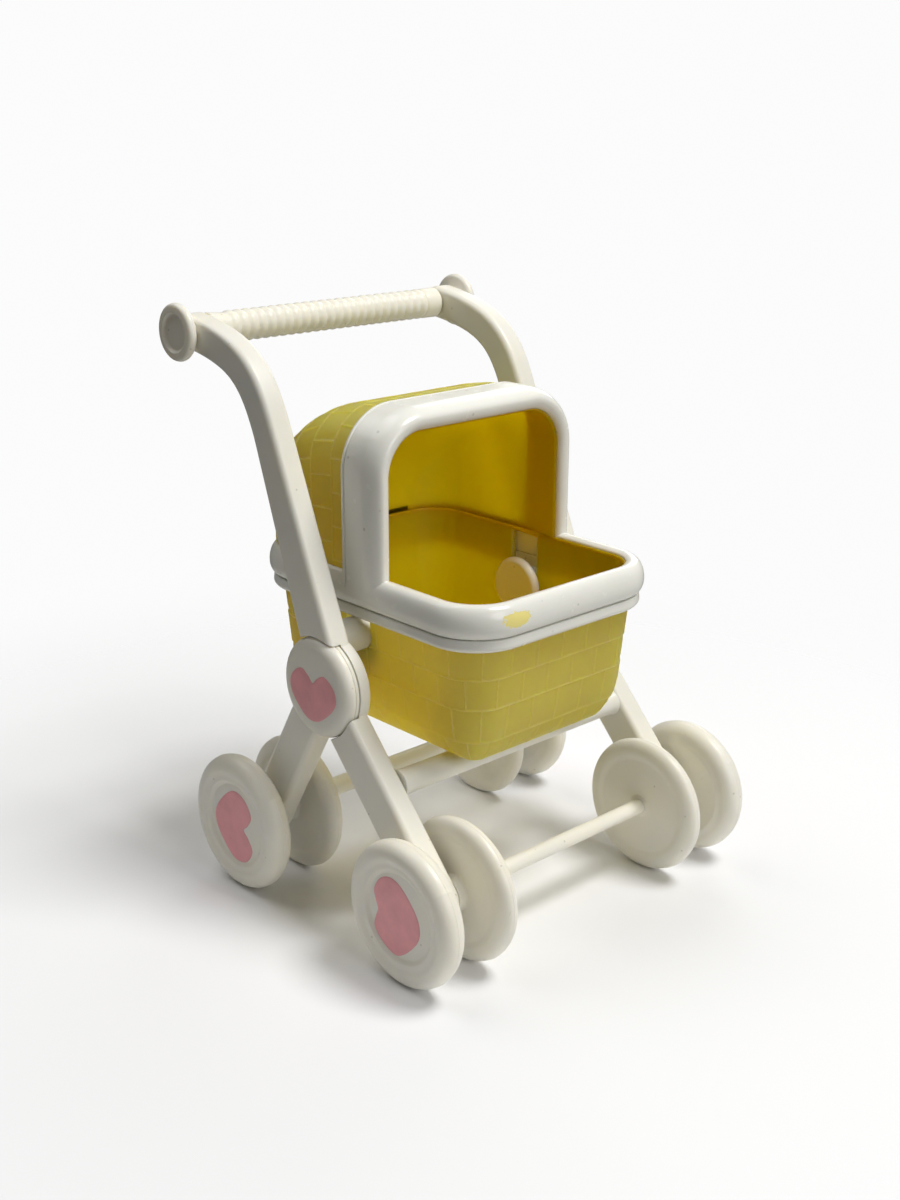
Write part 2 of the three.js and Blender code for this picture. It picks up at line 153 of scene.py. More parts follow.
HOOD_BOTTOM = RIM_TOP - 2.5

HOOD_MIDDLE = np.array((0.0, 5.0, 90.0))
PAINT_EDGE = RIM_WIDTH - 0.45   # the inset where the white paint stops on the rim and the arch
ARCH_CREST = 2.4            # the inset where the arch stands furthest forward
TOP_SWELL = 0.12                # how much wider the arch's bead is over its top
LINING_FRONT = ARCH_FRONT + 1.6
LINING_BACK = ARCH_FRONT + 17.0
LINING_DROP = RIM_WIDTH * (1 + TOP_SWELL) - HOOD_INSET / 2 - HOOD_WALL
LINING_SUNK = 0.9           # how far the paint rolls over before the lining starts
SLOT_HALF = 4.4

# The moulded tile pattern on the tub and the hood
TILE_LENGTH = 8.1
TILE_HEIGHT = 7.4
CROWN = 0.2
RIDGE_HEIGHT = 0.32
RIDGE_HALF = 0.22
# On the inside skin this mark makes the yellow material paint a gold glow into its base colour, in place of light
# through the walls.
INSIDE = -1.0                # the mark of the smooth skin inside the basket
RIDGE_OFFSETS = (-0.6, -0.32, -0.16, 0.0, 0.16, 0.32, 0.6)


# ---- making meshes

def make_piece(name, points, faces, look, body, sharp=38, marks=None):
    """A closed mesh from points in millimetres, shaded smooth across edges under `sharp` degrees.

    A material has the name of its slot. `marks` gives each point a number that the material reads: up to 1 on a
    ridge or a seam, and INSIDE on the skin inside the basket, where the yellow material paints a gold glow into its
    colour.
    """
    mesh = bpy.data.meshes.new(name)
    mesh.from_pydata((np.array(points) * MM).tolist(), [], faces)
    mesh.materials.append(look)
    if marks is not None:
        values = mesh.attributes.new("marks", "FLOAT", "POINT").data
        values.foreach_set("value", np.array(marks, np.float32))
    piece = bpy.data.objects.new(name, mesh)
    bpy.context.scene.collection.objects.link(piece)
    finish_surface(piece, sharp)
    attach(piece, body)
    # Blender adds a number to a name that is taken
    return piece


def finish_surface(piece, sharp):
    """Faces all point out, and flat faces stay flat beside their rounded edges."""
    work = bmesh.new()
    work.from_mesh(piece.data)
    bmesh.ops.remove_doubles(work, verts=work.verts, dist=1e-7)
    bmesh.ops.recalc_face_normals(work, faces=work.faces)
    work.to_mesh(piece.data)
    work.free()
    piece.data.shade_smooth()
    piece.data.set_sharp_from_angle(angle=radians(sharp))
    if "flat faces" not in piece.modifiers:
        weights = piece.modifiers.new("flat faces", "WEIGHTED_NORMAL")
        weights.keep_sharp = True


def loft(rings, capped=True, closed=False):
    """Points and faces of a skin over rings that all have the same number of points."""
    count = len(rings[0])
    points = np.concatenate(rings)
    faces = []
    last = len(rings) if closed else len(rings) - 1
    for k in range(last):
        a = k * count
        b = ((k + 1) % len(rings)) * count
        for i in range(count):
            j = (i + 1) % count
            faces.append((a + i, a + j, b + j, b + i))
    if capped and not closed:
        faces.append(tuple(range(count))[::-1])
        faces.append(tuple(range((len(rings) - 1) * count, len(rings) * count)))
    return points, faces


def soften(corners, steps=5):
    """An open line of (a, b, reach) corners, each rounded over its reach or what its edges leave."""
    points = [np.array(corner[:2], float) for corner in corners]
    reaches = [0.0, *[corner[2] for corner in corners[1:-1]], 0.0]
    room = []
    for i in range(len(points) - 1):
        length = np.linalg.norm(points[i + 1] - points[i])
        room.append(min(1.0, 0.98 * length / max(reaches[i] + reaches[i + 1], 1e-9)))
    line = [points[0]]
    for i in range(1, len(points) - 1):
        here, before, after = points[i], points[i - 1], points[i + 1]
        reach = reaches[i] * min(room[i - 1], room[i])
        if reach == 0:
            line.append(here)
            continue
        start = here + (before - here) / np.linalg.norm(before - here) * reach
        end = here + (after - here) / np.linalg.norm(after - here) * reach
        for t in np.linspace(0, 1, steps + 1):
            line.append((1 - t) ** 2 * start + 2 * t * (1 - t) * here + t ** 2 * end)
    line.append(points[-1])
    return line


def arc(centre, reach, start, end, steps=10):
    """Points of an elliptical arc between two angles in degrees."""
    turns = np.radians(np.linspace(start, end, steps + 1))
    return [(centre[0] + reach[0] * cos(t), centre[1] + reach[1] * sin(t)) for t in turns]


def slope(start, end, steps=8):
    """A soft step: even in its first coordinate, and an S in its second."""
    shares = np.linspace(0, 1, steps + 1)
    run, rise = end[0] - start[0], end[1] - start[1]
    return [(start[0] + run * t, start[1] + rise * (1 - cos(pi * t)) / 2) for t in shares]


def round_angles(facets, seams=()):
    """Even angles round an axis, with close ones across each mould seam."""
    angles = np.linspace(0, 2 * pi, facets, endpoint=False)
    for seam in seams:
        away = np.abs((angles - seam + pi) % (2 * pi) - pi)
        near = seam + np.radians(SEAM_STEPS)
        angles = np.concatenate([angles[away > near[-1] - seam + 0.005], near])
    return np.sort(angles % (2 * pi))


def turned(profile, side=1, centre=(0, 0, 0), facets=96, seams=()):
    """A piece turned about X: (radius, distance along X) pairs, from one flat end to the other."""
    angles = round_angles(facets, seams)
    rings = []
    for radius, along in profile:
        ring = np.empty((len(angles), 3))
        ring[:, 0] = side * along + centre[0]
        ring[:, 1] = radius * np.cos(angles) + centre[1]
        ring[:, 2] = radius * np.sin(angles) + centre[2]
        rings.append(ring)
    return loft(rings)


def plate(outline, inner, outer, edge=EDGE, steps=5):
    """A plate between two X planes, from an outline in the YZ plane, with rounded edges."""
    outline = np.array(outline, float)
    along = np.roll(outline, -1, 0) - np.roll(outline, 1, 0)
    along /= np.linalg.norm(along, axis=1)[:, None]
    outward = np.stack([along[:, 1], -along[:, 0]], 1)
    a, b = outline.T
    area = np.sum(a * np.roll(b, -1) - b * np.roll(a, -1))
    if area < 0:
        outward = -outward
    quarter = np.linspace(0, pi / 2, steps + 1)
    stations = [(edge * (1 - sin(a)), inner + edge * (1 - cos(a))) for a in quarter]
    stations += [(inset, inner + outer - x) for inset, x in stations[::-1]]
    rings = []
    for inset, x in stations:
        flat = outline - outward * inset
        rings.append(np.column_stack([np.full(len(flat), x), flat]))
    return loft(rings)


def mirrored(part, side):
    points, faces = part
    return points * np.array((side, 1, 1)), faces


def cut(piece, part, how, sharp=38):
    """Joins another solid to a piece, or takes it away, and drops the other solid."""
    points, faces = part
    mesh = bpy.data.meshes.new("tool")
    mesh.from_pydata((np.array(points) * MM).tolist(), [], faces)
    tool = bpy.data.objects.new("tool", mesh)
    bpy.context.scene.collection.objects.link(tool)
    finish_surface(tool, sharp)
    tool.modifiers.clear()
    piece.modifiers.clear()
    change = piece.modifiers.new("cut", "BOOLEAN")
    change.operation = how
    change.solver = "MANIFOLD"
    change.object = tool
    bpy.context.view_layer.update()
    result = bpy.data.meshes.new_from_object(piece.evaluated_get(bpy.context.evaluated_depsgraph_get()))
    piece.modifiers.clear()
    piece.data = result
    bpy.data.objects.remove(tool)
    finish_surface(piece, sharp)


# ---- materials

YELLOW_TINT = (0.76, 1.03, 1.15)
# GOLD is a painted glow: the base colour of the inside skin, brighter and deeper than the outside's plain yellow,
# standing in for light through the walls.
GOLD = (1.0, 0.73, 0.01, 1.0)   # the plastic inside, lit through its walls
GLOW = (0.9, 0.9, 0.24, 1.0)    # what the plastic lets through to its outside
PINK_TINT = (1.14, 0.86, 0.84)
LET_THROUGH = 0.5               # share of light that the yellow plastic lets through
# Centre and size of each chip in the paint
PAINT_CHIPS = (
    ((-18.6, hood_low[1], 78.8), (4.0, 3.0, 1.7)),
    ((23.5, -32.5, 79.0), (1.2, 1.2, 1.0)),
)


def node_tree(name):
    look = bpy.data.materials.new(name)
    look.use_nodes = True
    nodes = look.node_tree.nodes
    shader = nodes["Principled BSDF"]
    place = nodes.new("ShaderNodeTexCoord").outputs["Object"]
    return look, shader, place


def add(look, kind, inputs=None, **settings):
    """A new node, with its plain inputs set and its linked inputs joined."""
    node = look.node_tree.nodes.new(kind)
    for key, value in settings.items():
        setattr(node, key, value)
    for key, value in (inputs or {}).items():
        if isinstance(value, bpy.types.NodeSocket):
            look.node_tree.links.new(value, node.inputs[key])
        else:
            node.inputs[key].default_value = value
    return node


def link(look, source, target):
    look.node_tree.links.new(source, target)


def noise(look, place, scale, detail=3.0, roughness=0.5):
    node = add(look, "ShaderNodeTexNoise",
               {"Vector": place, "Scale": scale, "Detail": detail, "Roughness": roughness})
    return node.outputs["Fac"]


def between(look, value, low, high, out_low=0.0, out_high=1.0):
    """A value taken from one range to another, held at its ends."""
    node = add(look, "ShaderNodeMapRange", {
        "Value": value, "From Min": low, "From Max": high, "To Min": out_low, "To Max": out_high,
    })
    node.clamp = True
    return node.outputs["Result"]


def maths(look, operation, a, b=0.0):
    return add(look, "ShaderNodeMath", {0: a, 1: b}, operation=operation).outputs[0]


def mixed(look, share, first, second):
    """One colour over another."""
    node = add(look, "ShaderNodeMix", data_type="RGBA")
    for socket, value in ((node.inputs[0], share), (node.inputs[6], first), (node.inputs[7], second)):
        if isinstance(value, bpy.types.NodeSocket):
            link(look, value, socket)
        else:
            socket.default_value = value
    return node.outputs[2]


def bumped(look, shader, height, strength, distance=0.0002):
    node = add(look, "ShaderNodeBump",
               {"Height": height, "Strength": strength, "Distance": distance})
    link(look, node.outputs["Normal"], shader.inputs["Normal"])


def patch(look, place, centre, size, raggedness=0.35, grain=900.0):
    """1 inside a ragged patch about a point in millimetres, 0 outside it."""
    moved = add(look, "ShaderNodeVectorMath",
                {0: place, 1: [c * MM for c in centre]}, operation="SUBTRACT").outputs[0]
    scaled = add(look, "ShaderNodeVectorMath",
                 {0: moved, 1: [1 / (s * MM) for s in size]}, operation="MULTIPLY").outputs[0]
    far = add(look, "ShaderNodeVectorMath", {0: scaled}, operation="LENGTH").outputs["Value"]
    ragged = between(look, noise(look, place, grain, 4.0, 0.65), 0.25, 0.75, -raggedness, raggedness)
    return between(look, maths(look, "ADD", far, ragged), 0.96, 1.04, 1.0, 0.0)


def scuffs(look, place, scale, threshold):
    """Sparse short marks."""
    stretched = add(look, "ShaderNodeMapping", {"Vector": place, "Scale": (1.0, 3.5, 0.8)}).outputs[0]
    return between(look, noise(look, stretched, scale, 5.0, 0.7), threshold, threshold + 0.05)


def specks(look, place, scale, radius):
    """Small round flecks."""
    cells = add(look, "ShaderNodeTexVoronoi", {"Vector": place, "Scale": scale}).outputs["Distance"]
    return between(look, cells, radius, radius * 1.6, 1.0, 0.0)


def base_colour(slot):
    found = next(m for m in frame["record"]["materials"] if m["slot"] == slot)
    return tuple(found["base_color"][:3])


def tinted(colour, factor, tint=(1.0, 1.0, 1.0)):
    return (*[min(1.0, c * factor * t) for c, t in zip(colour, tint)], 1.0)


def plastic(name, ior, under=0.0, reach=(1.0, 1.0, 1.0), depth=0.001):
    """A new material, its shader and its place in the object. `under`: how much light goes under the skin."""
    look, shader, place = node_tree(name)
    shader.inputs["IOR"].default_value = ior
    shader.inputs["Subsurface Weight"].default_value = under
    shader.inputs["Subsurface Radius"].default_value = reach
    shader.inputs["Subsurface Scale"].default_value = depth
    return look, shader, place


def cloudy(look, place, scale, dark, light, top=0.65, detail=4.0, roughness=0.5):
    """Two tones that drift into each other."""
    cloud = between(look, noise(look, place, scale, detail, roughness), 0.35, top)
    return mixed(look, cloud, dark, light)


def stained(look, colour, where, strength, tone):
    """A colour with a tone over it where a mask says."""
    return mixed(look, maths(look, "MULTIPLY", where, strength), colour, tone)


def uneven(look, place, scale, low, high, detail=4.0):
    """Noise between two values."""
    return between(look, noise(look, place, scale, detail), 0.3, 0.7, low, high)


def ivory_plastic():
    look, shader, place = plastic("ivory_plastic", 1.49, 0.35, (1.0, 0.85, 0.55), 0.0015)
    tone = base_colour("ivory_plastic")
    colour = cloudy(look, place, 34.0, tinted(tone, 0.95), tinted(tone, 1.0, (1.02, 1.0, 0.95)), 0.68)
    colour = stained(look, colour, scuffs(look, place, 260.0, 0.69), 0.35, (0.42, 0.38, 0.29, 1.0))
    colour = stained(look, colour, specks(look, place, 210.0, 0.045), 0.35, (0.30, 0.26, 0.19, 1.0))
    link(look, colour, shader.inputs["Base Color"])
    link(look, uneven(look, place, 420.0, 0.3, 0.44), shader.inputs["Roughness"])
    bumped(look, shader, noise(look, place, 700.0, 4.0), 0.10)
    return look


def yellow_plastic():
    """Translucent plastic, paler along its ridges, with a painted glow inside: the inside skin gets a deeper gold base
    colour that stands in for light through the walls.
    """
    look, shader, place = plastic("yellow_plastic", 1.47, 1.0, (1.0, 0.72, 0.04), 0.006)
    tone = base_colour("yellow_plastic")
    colour = cloudy(look, place, 55.0, tinted(tone, 0.95, YELLOW_TINT), tinted(tone, 1.05, YELLOW_TINT))
    marks = add(look, "ShaderNodeAttribute", attribute_name="marks").outputs["Fac"]
    # The tile ridges are made paler, by a share that varies with noise.
    ridge_paling = between(look, noise(look, place, 260.0, 4.0), 0.3, 0.6, 0.25, 0.6)
    colour = stained(look, colour, marks, ridge_paling, (0.93, 0.86, 0.42, 1.0))
    # Painted glow: the inside skin's base colour turns to GOLD, standing in for light through the walls.
    inside = maths(look, "MULTIPLY", marks, 1 / INSIDE)
    link(look, mixed(look, inside, colour, GOLD), shader.inputs["Base Color"])
    link(look, uneven(look, place, 500.0, 0.34, 0.5, 3.0), shader.inputs["Roughness"])
    bumped(look, shader, noise(look, place, 800.0, 4.0), 0.10)
    through = add(look, "ShaderNodeBsdfTranslucent", {"Color": mixed(look, inside, GLOW, GOLD)})
    mix = add(look, "ShaderNodeMixShader", {0: LET_THROUGH, 1: shader.outputs[0], 2: through.outputs[0]})
    link(look, mix.outputs[0], look.node_tree.nodes["Material Output"].inputs["Surface"])
    return look


def white_paint():
    """Gloss paint with yellow plastic showing at two chips along the front of the rim."""
    look, shader, place = plastic("white_paint", 1.5, 0.15, (1.0, 0.85, 0.5), 0.001)
    tone = base_colour("white_paint")
    colour = cloudy(look, place, 40.0, tinted(tone, 0.96), tinted(tone, 1.0))
    colour = stained(look, colour, scuffs(look, place, 300.0, 0.7), 0.3, (0.33, 0.31, 0.27, 1.0))
    colour = stained(look, colour, specks(look, place, 170.0, 0.05), 0.3, (0.28, 0.26, 0.22, 1.0))
    chips = [patch(look, place, centre, size) for centre, size in PAINT_CHIPS]
    bare = maths(look, "MAXIMUM", *chips)
    plastic_tone = tinted(base_colour("yellow_plastic"), 1.05, (1.0, 1.1, 1.6))
    link(look, mixed(look, bare, colour, plastic_tone), shader.inputs["Base Color"])
    rough = uneven(look, place, 350.0, 0.16, 0.28)
    bare_rough = maths(look, "MULTIPLY", bare, 0.3)
    link(look, maths(look, "ADD", rough, bare_rough), shader.inputs["Roughness"])
    grain = maths(look, "MULTIPLY", noise(look, place, 520.0, 3.0), 0.25)
    bumped(look, shader, maths(look, "SUBTRACT", grain, bare), 0.3)
    return look


def pink_paint():
    """Thin stamped paint."""
    look, shader, place = plastic("pink_paint", 1.47)
    tone = base_colour("pink_paint")
    dark, light = tinted(tone, 0.93, PINK_TINT), tinted(tone, 1.05, PINK_TINT)
    link(look, cloudy(look, place, 160.0, dark, light, 0.65, 5.0, 0.6), shader.inputs["Base Color"])
    link(look, uneven(look, place, 600.0, 0.38, 0.55, 3.0), shader.inputs["Roughness"])
    bumped(look, shader, noise(look, place, 900.0, 4.0), 0.18)
    return look


IVORY = ivory_plastic()
YELLOW = yellow_plastic()
WHITE = white_paint()
PINK = pink_paint()


# ---- side frames and rear legs

def leg_outline(axle, steps=40):
    """A straight leg from the hub to an axle in the YZ plane, round at its foot."""
    hub = np.array((HUB[1], HUB[2]))
    foot = np.array((axle[1], axle[2]))
    along = (foot - hub) / np.linalg.norm(foot - hub)
    across = np.array((-along[1], along[0])) * LEG_HALF
    outline = [hub + across * (1 - 2 * t) for t in np.linspace(0, 1, 5)]
    outline += [hub - across + (foot - hub) * t for t in np.linspace(0, 1, 12)[1:-1]]
    for turn in np.linspace(0, pi, steps + 1):
        outline.append(foot - across * cos(turn) + along * LEG_HALF * sin(turn))
    outline += [foot + across + (hub - foot) * t for t in np.linspace(0, 1, 12)[1:-1]]
    return outline


def arm_outline(steps=90):
    """The handle arm: a straight leaning part, a bend, and a round end about the handle."""
    foot = np.array(ARM_FOOT)
    bend = np.array(ARM_BEND)
    end = np.array((HANDLE[1], HANDLE[2]))
    lean = (bend - foot) / np.linalg.norm(bend - foot)
    towards = bend + lean * ARM_BEND_START
    back = end - np.array((1, ARM_END_RISE)) * ARM_BEND_END
    centre = [foot + (bend - foot) * t for t in np.linspace(0, 1, 40, endpoint=False)]
    for t in np.linspace(0, 1, steps):
        centre.append((1 - t) ** 3 * bend + 3 * t * (1 - t) ** 2 * towards
                      + 3 * t ** 2 * (1 - t) * back + t ** 3 * end)
    centre = np.array(centre)
    along = np.gradient(centre, axis=0)
    along /= np.linalg.norm(along, axis=1)[:, None]
    across = np.stack([-along[:, 1], along[:, 0]], 1)
    run = np.concatenate([[0], np.cumsum(np.linalg.norm(np.diff(centre, axis=0), axis=1))])
    tapered = np.minimum(1, run / run[-1] / ARM_TAPER_SHARE)
    half = (ARM_HALF_LOW + (ARM_HALF_TOP - ARM_HALF_LOW) * tapered)[:, None]
    near = list(centre - across * half)
    far = list(centre + across * half)
    tip = []
    for turn in np.linspace(0, pi, 24)[1:-1]:
        tip.append(end + (along[-1] * sin(turn) - across[-1] * cos(turn)) * ARM_HALF_TOP)
    return near + tip + far[::-1]


def hub_cylinder(radius, inner, outer, facets=96):
    return turned([(radius, inner), (radius, outer)], centre=(0, HUB[1], HUB[2]), facets=facets)


def side_frame(side_name, side):
    """Arm, front leg and inner hub disc: one moulding, with a pocket for the outer disc."""
    arm = mirrored(plate(arm_outline(), LEG_INNER, LEG_OUTER), side)
    piece = make_piece(f"arm_and_front_leg_{side_name}", *arm, IVORY, "frame")
    cut(piece, mirrored(plate(leg_outline(FRONT_AXLE), LEG_INNER, LEG_OUTER), side), "UNION")
    pocket = hub_cylinder(HUB_RADIUS + 2 * GAP, HUB_STEP - GAP, LEG_OUTER + 2)
    cut(piece, mirrored(pocket, side), "DIFFERENCE")
    disc = turned(soften([
        (0.5, LEG_INNER - 0.05, 0), (HUB_RADIUS, LEG_INNER - 0.05, 0.9),
        (HUB_RADIUS, HUB_STEP - GAP, 0.25), (0.5, HUB_STEP - GAP, 0),
    ]), centre=(0, HUB[1], HUB[2]), facets=128)
    cut(piece, mirrored(disc, side), "UNION")
    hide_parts(f"{side_name}_side_frame")


def rear_leg(side_name, side):
    """The rear leg, with the outer hub disc and its fine rim grooves."""
    leg = mirrored(plate(leg_outline(REAR_AXLE), LEG_INNER, LEG_OUTER), side)
    piece = make_piece(f"rear_leg_{side_name}", *leg, IVORY, "rear_legs")
    clearance = hub_cylinder(HUB_RADIUS + 2 * GAP, LEG_INNER - 2, HUB_STEP + GAP)
    cut(piece, mirrored(clearance, side), "DIFFERENCE")
    lip = soften([
        (0.5, HUB_STEP + GAP, 0), (HUB_RADIUS - 0.1, HUB_STEP + GAP, 0.2),
        (HUB_RADIUS - 0.1, HUB_STEP + 0.95, 0.15), (HUB_RADIUS - 0.4, HUB_STEP + 1.1, 0.1),
        (HUB_RADIUS - 0.02, HUB_STEP + 1.3, 0.1), (HUB_RADIUS, HUB_STEP + 1.6, 0),
    ])
    shoulder = arc((HUB_RADIUS - 3.2, HUB_STEP + 1.6), (3.2, HUB_FACE - HUB_STEP - 1.75), 0, 90, 14)
    face = [(HUB_RADIUS - 5.5, HUB_FACE - 0.06), (4.0, HUB_FACE - 0.01), (0.5, HUB_FACE)]
    disc = turned(lip + shoulder[1:] + face, centre=(0, HUB[1], HUB[2]), facets=128)
    cut(piece, mirrored(disc, side), "UNION")
    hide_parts(f"{side_name}_rear_leg")


def hub_pin(side_name, side):
    low, high = span(f"{side_name}_hub_pin")
    head = HUB[2] - low[2]
    inner = min(abs(low[0]), abs(high[0]))
    pin = turned(soften([
        (0.5, inner, 0), (head, inner, 0.7), (head, inner + 1.2, 0.15),
        (2.5, inner + 1.2, 0), (2.5, HUB_STEP, 0),
    ]), side, (0, HUB[1], HUB[2]), 48)
    piece = make_piece(f"hub_pin_head_{side_name}", *pin, IVORY, "rear_legs")
    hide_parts(f"{side_name}_hub_pin")


# ---- handle and cross bar

def handle_grip():
    """Twenty-four moulded rings between two plain ends."""
    end = LEG_INNER - 0.3
    profile = [(0.5, -end), (GRIP_CREST - 0.2, -end), (GRIP_CREST, -end + 0.25)]
    half = GRIP_RINGS * GRIP_PITCH / 2
    for ring in range(GRIP_RINGS):
        start = -half + ring * GRIP_PITCH
        for step in range(8):
            wave = (1 - cos(2 * pi * step / 8)) / 2
            radius = GRIP_ROOT + (GRIP_CREST - GRIP_ROOT) * wave ** 0.7
            profile.append((radius, start + GRIP_PITCH * step / 8))
    profile += [(GRIP_ROOT, half), (GRIP_CREST, half + 0.7)]
    profile += [(GRIP_CREST, end - 0.25), (GRIP_CREST - 0.2, end), (0.5, end)]
    grip = turned(profile, centre=(0, HANDLE[1], HANDLE[2]), facets=64)
    piece = make_piece("ribbed_grip", *grip, IVORY, "frame")
    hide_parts("handle_bar")


def handle_knob(side_name, side):
    radius = (knob_high[2] - knob_low[2]) / 2
    inner, outer = knob_low[0], knob_high[0]
    knob = turned(soften([
        (0.5, inner - 0.2, 0),
        (4.3, inner - 0.2, 0.1),
        (radius - 0.4, inner + 0.5, 0.6),
        (radius, inner + 1.3, 0.5),
        (radius - 0.2, outer - 0.3, 1.0),
        (radius - 2.0, outer, 0.7),
        (4.7, outer - 0.1, 0.3),
        (4.2, outer - 0.8, 0.4),
        (0.5, outer - 0.9, 0),
    ]), side, (0, HANDLE[1], HANDLE[2]), 72)
    piece = make_piece(f"knob_{side_name}", *knob, IVORY, "frame")
    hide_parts(f"{side_name}_handle_knob")


def cross_bar():
    end = LEG_INNER - 0.3
    bar = turned(soften([
        (0.5, -end, 0), (CROSS_BAR_RADIUS + 0.5, -end, 0.2), (CROSS_BAR_RADIUS, -end + 2.2, 1.2),
        (CROSS_BAR_RADIUS, end - 2.2, 1.2), (CROSS_BAR_RADIUS + 0.5, end, 0.2), (0.5, end, 0),
    ]), centre=CROSS_BAR, facets=64)
    piece = make_piece("cross_bar", *bar, IVORY, "frame")
    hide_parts("front_cross_bar")


# ---- wheels

def mould_marks(part, centre, lift=0.07, width=0.4):
    """Raises a fine mould seam across the tread and rim, and marks where it and the flow line run."""
    points, faces = part
    from_axle = points[:, 1:] - np.array(centre[1:])
    radius = np.linalg.norm(from_axle, axis=1)
    angle = np.arctan2(from_axle[:, 1], from_axle[:, 0])
    marks = np.zeros(len(points))
    for seam in SEAMS:
        off = np.abs((angle - seam + pi) % (2 * pi) - pi) * radius
        line = np.exp(-(off / width) ** 2)
        rim = np.clip((radius - RIM_CREST + 1.5) / 1.5, 0, 1)
        points[:, 1:] += from_axle / np.maximum(radius, 1)[:, None] * (line * rim * lift)[:, None]
        marks = np.maximum(marks, line * (0.2 + 0.8 * rim))
    return points, faces, marks


def parting_line(along):
    """A fine ridge round the tread, where the two halves of the mould met."""
    return [(TREAD, along - 0.2), (WHEEL_RADIUS, along), (TREAD, along + 0.2)]


def wheel_side(face, out, recess, depth=2.9):
    """Half of a wheel's section, from tread to flat: the round rim and the soft step inside it."""
    rim = arc((RIM_CREST, face - out * depth), (TREAD - RIM_CREST, out * depth), 0, 90, 12)
    return rim + slope((RIM_CREST, face), (LAND_RADIUS, face - out * recess))[1:]


def make_wheel(end, side_name, side, axle, where, profile, facets):
    """The wheel at one end and side, outer or inner, turned from its profile."""
    points, faces, marks = mould_marks(turned(profile, side, (0, axle[1], axle[2]), facets, SEAMS), axle)
    name = f"wheel_{end}_{side_name}_{where}"
    piece = make_piece(name, points, faces, IVORY, f"{end}_wheelset", marks=marks)
    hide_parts(f"{end}_{side_name}_{where}_wheel")


def wheel_faces(end, side_name, where):
    """How far a wheel's two ends are from the middle of the stroller."""
    low, high = span(f"{end}_{side_name}_{where}_wheel")
    return sorted((abs(low[0]), abs(high[0])))


def outer_wheel(end, side_name, side, axle):
    """A wheel outside the leg: round rim, flat land and a dished middle, where the painted heart goes."""
    inner, outer = wheel_faces(end, side_name, "outer")
    flank = outer - OUTER_WIDTH
    profile = soften([
        (0.5, inner, 0), (COLLAR_RADIUS, inner, 0.3),
        (COLLAR_RADIUS, flank + FLANK_STEP, 0.6), (7.0, flank + FLANK_STEP, 0),
    ])
    profile += wheel_side(flank, -1, -FLANK_STEP)[::-1] + parting_line(flank + OUTER_WIDTH / 2)
    profile += wheel_side(outer, 1, LAND_DEPTH)
    profile += slope((DISH_RADIUS + 0.8, outer - LAND_DEPTH), (DISH_RADIUS - 0.5, outer - DISH_DEPTH))
    profile += [(6.0, outer - DISH_DEPTH), (0.5, outer - DISH_DEPTH)]
    make_wheel(end, side_name, side, axle, "outer", profile, 144)
    return outer - DISH_DEPTH


def inner_wheel(end, side_name, side, axle):
    """A wheel inside the leg, with a small fillet where the shaft leaves it."""
    inner, outer = wheel_faces(end, side_name, "inner")
    flank = outer - COLLAR_WIDTH
    half = (flank - inner) / 2
    shaft = span(f"{end}_axle")[1][2] - axle[2] + 0.12
    profile = [(0.5, inner), (shaft, inner)]
    profile += slope((shaft, inner + 0.02), (shaft + 1.1, inner + FLANK_STEP), 4)[1:]
    profile += wheel_side(inner, -1, FLANK_STEP, half - 0.25)[::-1] + parting_line(inner + half)
    profile += wheel_side(flank, 1, FLANK_STEP, half - 0.25)
    profile += soften([
        (6.4, flank - FLANK_STEP, 0), (COLLAR_RADIUS, flank - FLANK_STEP, 0.5),
        (COLLAR_RADIUS, outer, 0.3), (0.5, outer, 0),
    ])
    make_wheel(end, side_name, side, axle, "inner", profile, 128)


def axle_shaft(end):
    node = f"{end}_axle"
    low, high = span(node)
    centre = (low + high) / 2
    radius = (high[2] - low[2]) / 2
    stop = high[0]
    shaft = turned(soften([
        (0.5, -stop, 0), (radius, -stop, 0.3), (radius, stop, 0.3), (0.5, stop, 0),
    ]), centre=centre, facets=48)
    piece = make_piece(f"shaft_{end}", *shaft, IVORY, f"{end}_wheelset")
    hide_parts(node)


# ---- painted hearts

# Share of the outline and height of the paint, from the rim of a heart to its middle
HEART_CROWN = (
    (0.995, -0.12), (1.0, 0.02), (0.985, 0.07), (0.95, 0.1), (0.8, 0.115), (0.5, 0.12), (0.15, 0.12),
)


def heart_outline(width, length, notch, tip_shift=0.0, turn=0.0, steps=9):
    """A blunt heart about its middle, tip towards -v before it is turned, as (u, v) points.

    The right half goes through a few points and the left half mirrors it.
    """
    w, l = width / 2, length / 2
    half = [(0.0, l - notch), (0.2 * w, l - 0.45 * notch), (0.5 * w, l), (0.86 * w, 0.7 * l), (w, 0.22 * l),
            (0.84 * w, -0.28 * l), (0.38 * w, -0.84 * l), (0.0, -l)]
    loop = np.array(half + [(-u, v) for u, v in half[-2:0:-1]])
    count = len(loop)
    line = []
    for i in range(count):
        p = [loop[(i + k) % count] for k in (-1, 0, 1, 2)]
        for t in np.linspace(0, 1, steps, endpoint=False):
            bend = (2 * p[0] - 5 * p[1] + 4 * p[2] - p[3]) * t ** 2
            twist = (3 * p[1] - p[0] - 3 * p[2] + p[3]) * t ** 3
            line.append(0.5 * (2 * p[1] + (p[2] - p[0]) * t + bend + twist))
    line = np.array(line)
    line[:, 0] += tip_shift * np.clip(-line[:, 1] / l, 0, 1)
    c, s = cos(radians(turn)), sin(radians(turn))
    return np.stack([line[:, 0] * c - line[:, 1] * s, line[:, 0] * s + line[:, 1] * c], 1)


def heart(name, outline, centre, face, side, body):
    """A thin film of paint, crowned a little, with a soft edge."""
    rings = []
    for share, lift in HEART_CROWN:
        flat = outline * share + np.array(centre)
        rings.append(np.column_stack([np.full(len(flat), side * (face + lift)), flat]))
    make_piece(name, *loft(rings), PINK, body, 60)


# ---- basket

